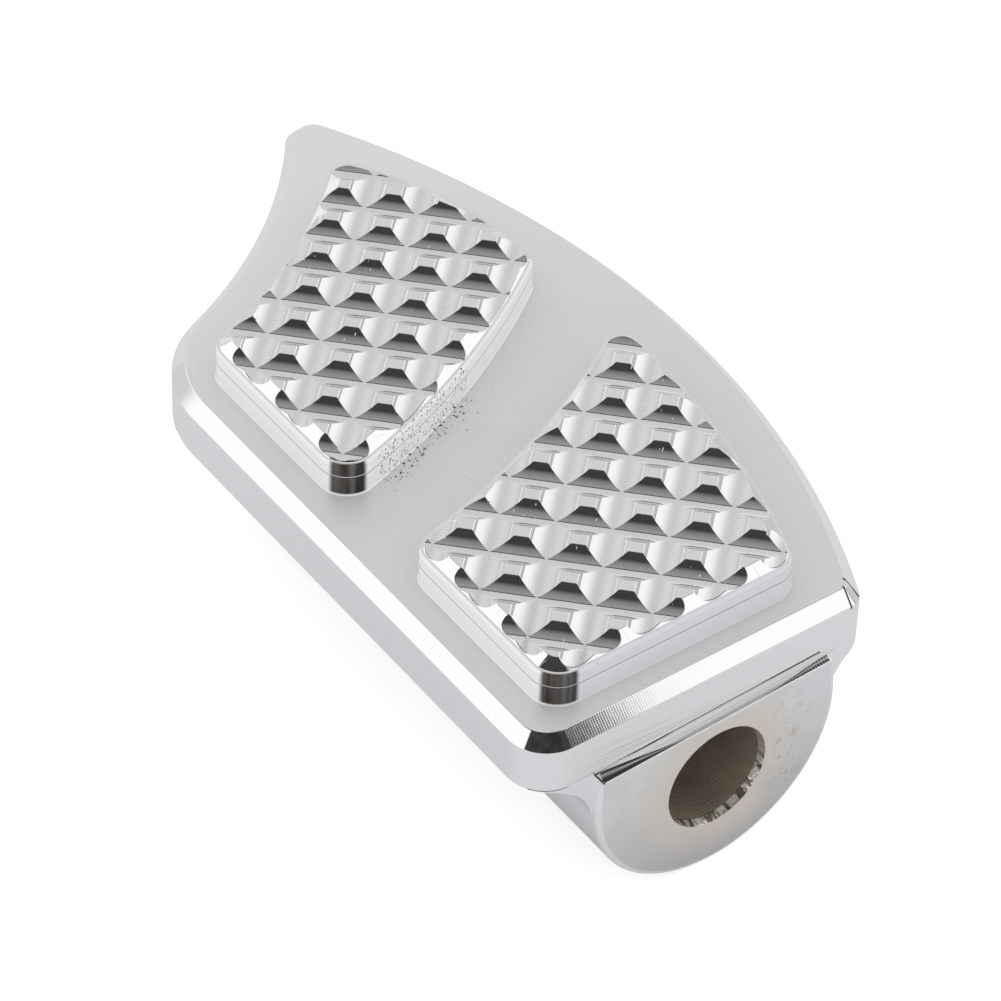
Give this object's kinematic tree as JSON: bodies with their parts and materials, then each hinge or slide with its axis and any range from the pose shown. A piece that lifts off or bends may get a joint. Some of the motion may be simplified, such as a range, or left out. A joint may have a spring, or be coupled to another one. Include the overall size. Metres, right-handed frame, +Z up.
{
  "type": "shifter peg",
  "caption": "One-piece foot peg for a gear shift lever: a bowed plate with raised knurled pads over a round-bottomed lug bored lengthwise for a bolt.",
  "frame": {"origin": "centre of the bore in the lug's end face, the face that meets the lever", "axes": "+X along the bore and out of that face, +Y across the plate from its straight side to its bowed side, +Z up through the pads"},
  "size_m": [0.0684, 0.036, 0.0218],
  "materials": {
    "peg_chrome": "bright plated over a milled surface, with fine cutter lines; bare metal inside the bore"
  },
  "bodies": {
    "root": {"peg_body": "peg_chrome"}
  },
  "joints": []
}
